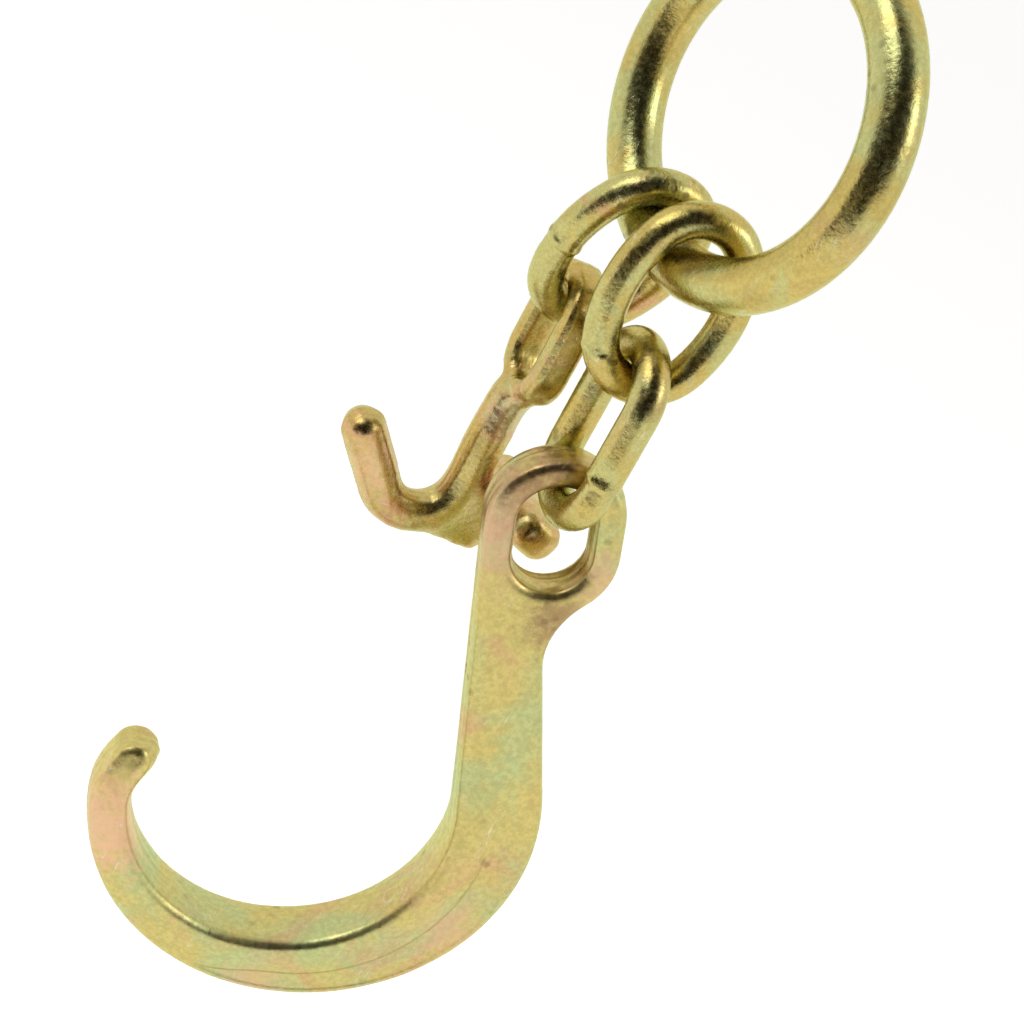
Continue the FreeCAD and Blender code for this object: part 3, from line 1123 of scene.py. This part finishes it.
@dataclass
class Studio:
    """A pale floor, soft light from a bright room with a darker front, and the camera.

    Attributes:
        eye: The camera's place.
        right: The camera's right.
        up: The camera's up.
        look: The way the camera looks.
        lens: The lens in millimetres.
        floor_level: The height of the floor.
        floor_half: Half the floor's side.
        card_reach: How far in front the dark card stands.
        card_height: How high it is.
        card_start: Where it starts round the object, from straight in front.
        card_sweep: How far round it goes.
        card_steps: How many flat strips make its curve.
        card_colour: Its black.
        sensor: The width of the camera's sensor in millimetres.
        floor_colour: The floor's white.
        floor_glow: How strongly the floor glows.
        front: The way to the middle of the room's darker patch.
        front_edge: Where the patch starts and is full, by how squarely a direction faces it.
        light: The room's light.
        shade: The light of the darker patch.
        aim: The place that the lamps face.
        lamps: The lamps.
    """

    eye: Vector = Vector((-0.16773, -0.44712, 0.09198))
    right: Vector = Vector((0.8865, -0.1215, 0.4465))
    up: Vector = Vector((-0.339, 0.4863, 0.8054))
    look: Vector = Vector((0.315, 0.8653, -0.3899))
    lens: float = 77.34
    floor_level: float = -0.34
    floor_half: float = 8.0
    card_reach: float = 0.8
    card_height: float = 0.7
    card_start: float = math.radians(-75)
    card_sweep: float = math.radians(82)
    card_steps: int = 24
    card_colour: Colour = (0.015, 0.013, 0.01)
    sensor: float = 36.0
    floor_colour: Colour = (0.93, 0.93, 0.93)
    floor_glow: float = 0.34
    front: tuple[float, float, float] = (-0.34, -0.84, 0.42)
    front_edge: tuple[float, float] = (0.3, 0.78)
    light: Colour = (1.0, 0.99, 0.97)
    shade: Colour = (0.02, 0.018, 0.015)
    aim: Vector = Vector((-0.02, 0, -0.1))
    lamps: tuple[SoftBox, ...] = (
        SoftBox("soft_box_left", Vector((-1.0, -0.3, 0.7)), 0.8, 5.0),
        SoftBox("soft_box_right", Vector((0.9, -0.6, 0.6)), 0.5, 2.0),
    )

    def camera(self) -> None:
        """Makes the camera and names it the scene's."""
        data = bpy.data.cameras.new("camera")
        data.lens = self.lens
        data.sensor_width = self.sensor
        data.clip_start, data.clip_end = 0.01, 50.0
        made = bpy.data.objects.new("camera", data)
        turn = Matrix((self.right, self.up, -self.look)).transposed()
        made.matrix_world = Matrix.Translation(self.eye) @ turn.to_4x4()
        bpy.context.scene.collection.objects.link(made)
        bpy.context.scene.camera = made

    def floor(self) -> None:
        """Lays the pale floor."""
        shape = bmesh.new()
        bmesh.ops.create_grid(shape, x_segments=4, y_segments=4, size=self.floor_half)
        bmesh.ops.translate(shape, verts=shape.verts, vec=Vector((0, 0, self.floor_level)))
        mesh = bpy.data.meshes.new("studio_floor")
        shape.to_mesh(mesh)
        shape.free()
        paint = bpy.data.materials.new("studio_floor_paint")
        paint.use_nodes = True
        nodes = Nodes(paint.node_tree)
        shader = nodes.add(
            "BsdfPrincipled",
            {
                "Base Color": (*self.floor_colour, 1.0),
                "Roughness": 0.95,
                "Emission Color": (1.0, 1.0, 1.0, 1.0),
                "Emission Strength": self.floor_glow,
            },
        )
        nodes.add("OutputMaterial", {"Surface": shader.outputs[0]})
        mesh.materials.append(paint)
        laid = bpy.data.objects.new("studio_floor", mesh)
        bpy.context.scene.collection.objects.link(laid)

    def room(self) -> None:
        """Makes the room's light: bright all round, with a darker patch at the front."""
        world = bpy.data.worlds.new("studio_room")
        world.use_nodes = True
        nodes = Nodes(world.node_tree)
        way = nodes.add("TexCoord").outputs["Generated"]
        ways = {0: way, 1: self.front}
        facing = nodes.add("VectorMath", ways, operation="DOT_PRODUCT").outputs["Value"]
        dark = nodes.window(facing, *self.front_edge)
        seen = nodes.add("LightPath").outputs["Is Camera Ray"]
        colour = nodes.blend(seen, nodes.blend(dark, self.light, self.shade), (1.0, 1.0, 1.0))
        sky = nodes.add("Background", {"Color": colour, "Strength": 1.0})
        nodes.add("OutputWorld", {"Surface": sky.outputs[0]})
        bpy.context.scene.world = world
        bpy.context.scene.view_settings.view_transform = "Standard"

    def card(self) -> None:
        """Stands a dark curved card in front, which only reflections see."""
        shape = bmesh.new()
        foot = shape.verts.new((self.card_reach * math.sin(self.card_start), 0, self.floor_level + 0.01))
        foot.co.y = -self.card_reach * math.cos(self.card_start)
        head = shape.verts.new(foot.co + Vector((0, 0, self.card_height)))
        edge = shape.edges.new((foot, head))
        bmesh.ops.spin(
            shape,
            geom=[foot, head, edge],
            cent=Vector((0, 0, 0)),
            axis=Vector((0, 0, 1)),
            angle=self.card_sweep,
            steps=self.card_steps,
            use_merge=False,
        )
        mesh = bpy.data.meshes.new("studio_card")
        shape.to_mesh(mesh)
        shape.free()
        cloth = bpy.data.materials.new("studio_card_black")
        cloth.use_nodes = True
        nodes = Nodes(cloth.node_tree)
        shader = nodes.add("BsdfDiffuse", {"Color": (*self.card_colour, 1.0)})
        nodes.add("OutputMaterial", {"Surface": shader.outputs[0]})
        mesh.materials.append(cloth)
        stood = bpy.data.objects.new("studio_card", mesh)
        bpy.context.scene.collection.objects.link(stood)
        stood.visible_camera = stood.visible_diffuse = stood.visible_shadow = False

    def hang(self, box: SoftBox) -> None:
        """Hangs a soft box that faces the object.

        Args:
            box: The lamp.
        """
        data = bpy.data.lights.new(box.name, "AREA")
        data.shape, data.size, data.energy = "SQUARE", box.size, box.power
        made = bpy.data.objects.new(box.name, data)
        made.location = box.place
        made.rotation_euler = (self.aim - box.place).to_track_quat("-Z", "Y").to_euler()
        bpy.context.scene.collection.objects.link(made)

    def build(self) -> None:
        """Sets up the whole studio."""
        self.camera()
        self.floor()
        self.room()
        self.card()
        for box in self.lamps:
            self.hang(box)


COPPER = (0.8, 0.47, 0.3)
ROSE = (0.76, 0.44, 0.28)
# Dark brown painted as shade round the J hook's eye, where the chain link passes through it.
PAINTED_SHADE_BROWN = (0.3, 0.17, 0.09)


def main() -> None:
    """Builds the studio and every piece in order."""
    logging.basicConfig(level=logging.INFO)
    groups = {
        "plating_tint": plating_tint_group(),
        "forged_grain": forged_grain_group(),
        "scratches": scratches_group(),
        "tint_and_shade_spot": tint_and_shade_spot_group(),
    }
    Studio().build()

    front_top, _ = joint_named("front_chain_swing")
    rear_top, _ = joint_named("rear_chain_swing")
    front_foot, front_side = joint_named("chain_link_swing")
    rear_foot, rear_side = joint_named("rt_hook_swing")
    lower_foot, _ = joint_named("j_hook_swing")
    toward = Vector((-0.315, -0.865, 0.39))

    PullRing(
        YellowZinc(
            "ring_yellow_zinc",
            green=0.7,
            pink=0.22,
            brown=0.3,
            patch_scale=38.0,
            low_rough=0.17,
            high_rough=0.34,
            tones=(
                Tone(front_top + Vector((0, 0, 6 * MM)), 8 * MM, (0.78, 0.72, 0.5), 0.5),
                Tone(Vector((-0.02, -0.006, -0.04)), 14 * MM, (0.78, 0.5, 0.34), 0.35),
            ),
        )
    ).build(groups)
    LinkPiece(
        "front_coupling_link",
        Weld(Leg.FAR_SIDE, 16.5 * MM, 0.3 * MM, 0.0, toward),
        front_side,
        (front_foot - front_top).normalized(),
        YellowZinc("front_link_yellow_zinc", green=0.6, pink=0.15, brown=0.45, patch_scale=55.0),
    ).build(groups)
    LinkPiece(
        "rear_coupling_link",
        Weld(Leg.FAR_SIDE, 3.5 * MM, 0.35 * MM, 0.2 * MM, toward),
        rear_side,
        (rear_foot - rear_top).normalized(),
        YellowZinc("rear_link_yellow_zinc", green=0.45, pink=0.7, brown=0.5, patch_scale=55.0),
    ).build(groups)
    lower_side = Vector((front_side.y, -front_side.x, 0)).normalized()
    LinkPiece(
        "chain_link",
        Weld(Leg.NEAR_SIDE, 7.5 * MM, 0.2 * MM, 0.4 * MM, toward),
        lower_side,
        Vector((0, 0, -1)),
        YellowZinc("chain_link_yellow_zinc", green=0.5, pink=0.2, brown=0.45, patch_scale=60.0),
    ).build(groups)
    bowl = mount_named("j_bowl")
    JHook(
        YellowZinc(
            "j_hook_yellow_zinc",
            gold=(0.66, 0.55, 0.19),
            green=0.85,
            pink=0.5,
            brown=0.1,
            patch_scale=30.0,
            low_rough=0.26,
            high_rough=0.44,
            grain_scale=750.0,
            grain_depth=0.00007,
            pits=0.6,
            scratch=0.35,
            tones=(
                Tone(bowl + Vector((-0.040, -0.006, -0.020)), 17 * MM, COPPER, 0.8),
                Tone(bowl + Vector((0.052, -0.006, -0.020)), 11 * MM, ROSE, 0.45),
                Tone(bowl + Vector((0.012, -0.006, -0.056)), 12 * MM, ROSE, 0.5),
                Tone(lower_foot + Vector((-0.012, -0.004, -0.012)), 15 * MM, (0.66, 0.38, 0.25), 0.6),
                # Painted shade: dark spots beside and below the J hook's eye, round the chain link.
                Tone(lower_foot + Vector((-0.008, -0.006, 0.004)), 11 * MM, PAINTED_SHADE_BROWN, 0.75),
                Tone(lower_foot + Vector((0.012, -0.006, -0.026)), 10 * MM, PAINTED_SHADE_BROWN, 0.7),
                Tone(lower_foot + Vector((0.016, -0.004, -0.012)), 9 * MM, (0.68, 0.42, 0.28), 0.5),
            ),
        )
    ).build(groups)
    peg = mount_named("r_peg")
    RTHook(
        YellowZinc(
            "rt_hook_yellow_zinc",
            gold=(0.6, 0.43, 0.13),
            green=0.4,
            pink=0.75,
            brown=0.5,
            patch_scale=50.0,
            low_rough=0.19,
            high_rough=0.38,
            scratch=0.6,
            stretch=(1.0, 1.0, 0.12),
            tones=(
                Tone(peg, 13 * MM, COPPER, 0.6),
                Tone(mount_named("t_head"), 16 * MM, (0.88, 0.6, 0.46), 0.6),
                Tone(rear_foot + Vector((0.001, -0.004, -0.028)), 9 * MM, (0.58, 0.56, 0.3), 0.8),
                # Painted shade: a dark spot in the hollow inside the R/T hook's eye, beside the rear link.
                Tone(rear_foot + Vector((-0.0088, -0.0054, -0.0116)), 7 * MM, (0.2, 0.13, 0.06), 0.85),
            ),
        )
    ).build(groups)


if __name__ == "__main__":
    main()
